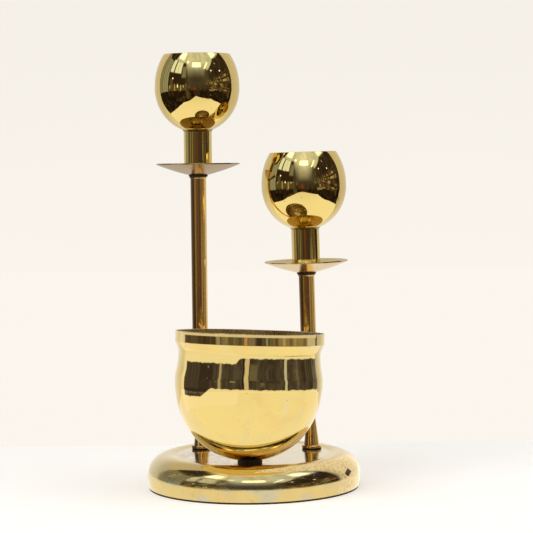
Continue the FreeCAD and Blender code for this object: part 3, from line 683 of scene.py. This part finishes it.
def make_table():
    """A large pale floor for the camera. The brass mirrors only a table top, with dark floor round it."""
    made, g = material("pale_table")
    x, y, z = room_axes(g, g.place())
    behind = g.step(y, WALL_DISTANCE - 0.002, WALL_DISTANCE + 0.002)
    grain = g.noise(g.place(), 30, 5, 0.6)
    top = g.mix(grain, (0.86, 0.83, 0.80), (0.90, 0.87, 0.85))
    diffuse = g.tree.nodes.new("ShaderNodeBsdfDiffuse")
    g.put(diffuse.inputs[0], top)
    lit = g.tree.nodes.new("ShaderNodeAddShader")
    g.tree.links.new(diffuse.outputs[0], lit.inputs[0])
    g.tree.links.new(emission(g, TABLE_GLOW, TABLE_GLOW_STRENGTH), lit.inputs[1])
    past_table = g.mul(behind, g.ray("Is Camera Ray"))
    output(g, shader_mix(g, past_table, lit.outputs[0], emission(g, WALL_LOW)))
    corners = [(a * FLOOR_HALF, b * FLOOR_HALF, 0) for a, b in ((-1, -1), (1, -1), (1, 1), (-1, 1))]
    floor = sheet("floor", corners, made)
    floor.visible_glossy = False
    bright, g = material("table_in_brass")
    x, y, z = room_axes(g, g.place())
    fade = g.step(y, -0.9, -0.1)
    output(g, emission(g, g.mix(fade, (0.98, 0.94, 0.85), (1.16, 1.12, 1.05))))
    corners = [turned_with_view(a, b, -TABLE_DROP) for a, b in TABLE_OUTLINE]
    table = sheet("table_top", corners, bright, camera=False, shadow=False)
    table.visible_diffuse = False


def make_wall():
    """The wall behind the stand as the brass mirrors it: brightest low down, dimmer to the right."""
    made, g = material("wall_in_brass")
    x, y, z = room_axes(g, g.place())
    low = g.mix(g.step(x, 0.10, 0.42), (0.98, 0.93, 0.86), (0.68, 0.64, 0.59))
    low = g.mix(g.step(x, -0.10, -0.40), low, (0.86, 0.82, 0.76))
    colour = g.mix(g.step(z, 0.08, 0.22), low, (0.72, 0.68, 0.62))
    socket = g.mul(g.window(x, 0.50, 0.56, 0.003), g.window(z, 0.04, 0.10, 0.003))
    output(g, emission(g, g.mix(socket, colour, (0.03, 0.03, 0.03))))
    corners = [turned_with_view(a, WALL_DISTANCE, b) for a, b in WALL_OUTLINE]
    wall = sheet("wall", corners, made, camera=False, shadow=False)
    wall.visible_diffuse = False


def ceiling_over(g, under, turn, rise):
    """A pale ceiling. Its lower edge dips softly in the middle and slants up on the right."""
    middle = g.window(turn, -30, 27, 8)
    slant = g.math("MINIMUM", g.add(g.mul(turn, 0.66), 5.5), 46)
    on_right = g.step(turn, 24, 30)
    level = g.math("SUBTRACT", CEILING_EDGE, g.mul(middle, CEILING_DIP))
    low = g.add(g.mul(level, g.inverse(on_right)), g.mul(slant, on_right))
    high = g.add(low, g.add(g.mul(middle, 30), 3))
    mask = g.mul(g.step(rise, low, high), g.window(turn, -77, 101, 2))
    mask = g.larger(mask, g.step(rise, 60, 68))
    cloud = g.noise(g.join(g.mul(turn, 0.05), g.mul(rise, 0.05), 0.0), 1.0, 3, 0.6)
    return g.mix(mask, under, g.mix(g.step(cloud, 0.35, 0.65), (0.64, 0.70, 0.80), (0.84, 0.95, 1.16)))


def shelves_over(g, under, turn, rise):
    """Shelves seen at a slant: their boards fan out from a vanishing point, and the books grow away
    from it."""
    reach = g.larger(g.add(turn, -VANISHING_TURN), 3)
    level = g.mul(g.math("DIVIDE", g.add(rise, -VANISHING_RISE), reach), 11)
    shelf, height = g.math("FLOOR", level), g.math("FRACT", level)
    book = g.math("FLOOR", g.mul(g.math("LOGARITHM", reach, math.e), 15))
    pick = g.tree.nodes.new("ShaderNodeTexWhiteNoise")
    g.put(pick.inputs["Vector"], g.join(book, shelf, 0.0))
    pick = pick.outputs["Value"]
    bound = g.ramp(pick, [(0.0, (0.030, 0.022, 0.020)), (0.35, (0.10, 0.050, 0.035)),
                          (0.60, (0.17, 0.13, 0.08)), (0.80, (0.42, 0.36, 0.20)),
                          (1.0, (0.55, 0.50, 0.34))])
    top = g.add(0.92, g.mul(pick, -0.40))
    rows = g.mix(g.step(height, top, g.add(top, 0.06)), bound, GAP)
    rows = g.mix(g.window(height, 0.02, 0.14, 0.03), rows, (0.20, 0.17, 0.11))
    mask = g.mul(g.window(turn, 27, 101, 1.5), g.window(level, -2.9, 2.1, 0.06))
    return g.mix(mask, under, rows)


def slanted_light(g, under, turn, rise, start, end, half_width, colour):
    """A straight light from start to end, each a (turn, rise)."""
    run, climb = end[0] - start[0], end[1] - start[1]
    length = math.hypot(run, climb)
    run, climb = run / length, climb / length
    over, up = g.add(turn, -start[0]), g.add(rise, -start[1])
    along = g.add(g.mul(over, run), g.mul(up, climb))
    across = g.add(g.mul(over, -climb), g.mul(up, run))
    mask = g.mul(g.window(along, 0, length, 1.5), g.window(across, -half_width, half_width, 0.7))
    return g.mix(mask, under, colour)


def make_world():
    """What surrounds the stand. The camera sees the wall's colour; diffuse surfaces get even light; and
    the brass mirrors a dim room with a pale ceiling, lamps, a window on the left and shelves on the
    right."""
    world = bpy.data.worlds.new("room")
    bpy.context.scene.world = world
    world.use_nodes = True
    g = Graph(world.node_tree)
    x, y, z = room_axes(g, g.tree.nodes.new("ShaderNodeTexCoord").outputs["Generated"])
    turn = g.mul(g.math("ARCTAN2", x, g.mul(y, -1)), 180 / math.pi)
    rise = g.mul(g.math("ARCSINE", z), 180 / math.pi)

    streaks = g.noise(g.join(g.mul(turn, 0.16), g.mul(rise, 0.03), 0.0), 1.0, 5, 0.7)
    clutter = g.ramp(streaks, [(0.36, (0.018, 0.012, 0.012)), (0.52, (0.045, 0.032, 0.028)),
                               (0.66, (0.095, 0.078, 0.066)), (0.80, (0.20, 0.17, 0.13))])
    floor = g.noise(g.join(g.mul(turn, 0.07), g.mul(rise, 0.10), 0.0), 1.0, 5, 0.75, 0.5)
    floor = g.ramp(floor, [(0.40, (0.008, 0.006, 0.006)), (0.56, (0.030, 0.019, 0.014)),
                           (0.70, (0.12, 0.09, 0.05))])
    room = g.mix(g.step(rise, -3, -8), clutter, floor)
    room = shelves_over(g, patches_over(g, room, turn, rise, ROOM), turn, rise)
    room = ceiling_over(g, room, turn, rise)
    room = slanted_light(g, room, turn, rise, (23, 32), (38, 44), 1.3, LAMP)
    room = patches_over(g, room, turn, rise, LIGHTS)

    tree = g.tree
    lit = tree.nodes.new("ShaderNodeBackground")
    g.put(lit.inputs[0], EVEN_LIGHT)
    g.put(lit.inputs[1], EVEN_LIGHT_STRENGTH)
    seen = tree.nodes.new("ShaderNodeBackground")
    wall = g.mix(g.step(rise, -6, 5), WALL_LOW, WALL_HIGH)
    faint = g.mul(g.noise(g.join(x, y, z), 14, 4, 0.6), 0.05)
    g.put(seen.inputs[0], g.mix(faint, wall, WALL_HAZE))
    mirrored = tree.nodes.new("ShaderNodeBackground")
    g.put(mirrored.inputs[0], room)
    shader = shader_mix(g, g.ray("Is Glossy Ray"), lit.outputs[0], mirrored.outputs[0])
    shader = shader_mix(g, g.ray("Is Camera Ray"), shader, seen.outputs[0])
    output(g, shader, "ShaderNodeOutputWorld")


def soft_light(name, place, target, size, power):
    """A round area light that the brass doesn't mirror."""
    data = bpy.data.lights.new(name, "AREA")
    data.shape = "DISK"
    data.size = size
    data.energy = power
    made = bpy.data.objects.new(name, data)
    bpy.context.scene.collection.objects.link(made)
    made.location = place
    made.rotation_mode = "QUATERNION"
    made.rotation_quaternion = (Vector(target) - Vector(place)).to_track_quat("-Z", "Y")
    made.visible_glossy = False


# ---- dress the model -----------------------------------------------------------------------------
# The two pans are alike; the left one's brass is darker, painted shade.
PAN_BRASS_LEFT_SHADED = {"left": (0.37, 0.26, 0.130), "right": (0.70, 0.53, 0.24)}
SIDE_SEED = {"left": 2.3, "right": 8.9}


def axis_of(node):
    """(x, y) of the middle of a round piece."""
    low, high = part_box(node)
    return ((low.x + high.x) / 2, (low.y + high.y) / 2)


def dress(node, mat):
    mesh = nodes[node].data
    mesh.materials.clear()
    mesh.materials.append(mat)
    for polygon in mesh.polygons:
        polygon.material_index = 0


def dress_side(side, steel, fibre):
    """One post with its foot, pan, socket and cup, and the small pieces that hold them."""
    axis = axis_of("post_tube_" + side)
    seed = SIDE_SEED[side]
    cup = brass("brass_cup_" + side, axis, tarnish=0.16, wave=0.012, rough=0.030, seed=seed,
                adapt=cup_look(side))
    tube = brass("brass_post_" + side, axis, polish=POST_BRASS, tarnish=0.40, drawn=0.06, rough=0.08,
                 seed=seed + 1, adapt=post_look)
    pan = brass("brass_pan_" + side, axis, polish=PAN_BRASS_LEFT_SHADED[side], tarnish=0.35, rings=0.015, rough=0.20,
                seed=seed + 2)
    socket = brass("brass_socket_" + side, axis, tarnish=0.25, drawn=0.05, rough=0.035, seed=seed + 3)
    peg = brass("brass_peg_" + side, axis, polish=PEG_BRASS, tarnish=0.5, rough=0.22, seed=seed + 4)
    looks = {"candle_cup": cup, "post_tube": tube, "post_foot": tube, "top_collar": tube, "drip_pan": pan,
             "candle_socket": socket, "cup_nut": socket, "cup_peg": peg, "foot_washer": fibre,
             "pan_washer": fibre, "tie_rod": steel, "socket_nut": steel}
    for node, look in looks.items():
        dress(node + "_" + side, look)


def dress_all():
    steel = zinc_steel()
    fibre = black_soft("black_fibre", (0.020, 0.011, 0.006), 0.55, 0.06)
    dress("base_shell", brass("brass_base", polish=DULLED, tarnish=0.60, patches=0.38, wave=0.03,
                              rings=0.01, rough=0.095, seed=1.7, adapt=base_look))
    dress("bowl", brass("brass_bowl", axis_of("bowl"), tarnish=0.22, patches=0.18, wave=0.06, rough=0.035,
                        seed=5.1, adapt=bowl_look))
    for side in ("left", "right"):
        dress_side(side, steel, fibre)
    for node in ("base_nuts", "base_washers", "seat_screw", "seat_washer", "seat_nut"):
        dress(node, steel)
    dress("base_weight", cast_iron())
    dress("felt_pad", felt())
    dress("bowl_seat", black_soft("black_rubber", (0.008, 0.007, 0.006), 0.50, 0.10))


make_camera()
make_table()
make_wall()
make_world()
soft_light("key", place=(-0.6, -0.7, 1.3), target=(0, 0, 0.1), size=1.1, power=9.0)
soft_light("fill", place=(0.9, -0.3, 1.1), target=(0, 0, 0.1), size=1.2, power=5.0)
dress_all()

bpy.context.scene.view_settings.view_transform = "Standard"
bpy.context.scene.view_settings.look = "None"
bpy.context.scene.cycles.glossy_bounces = 8
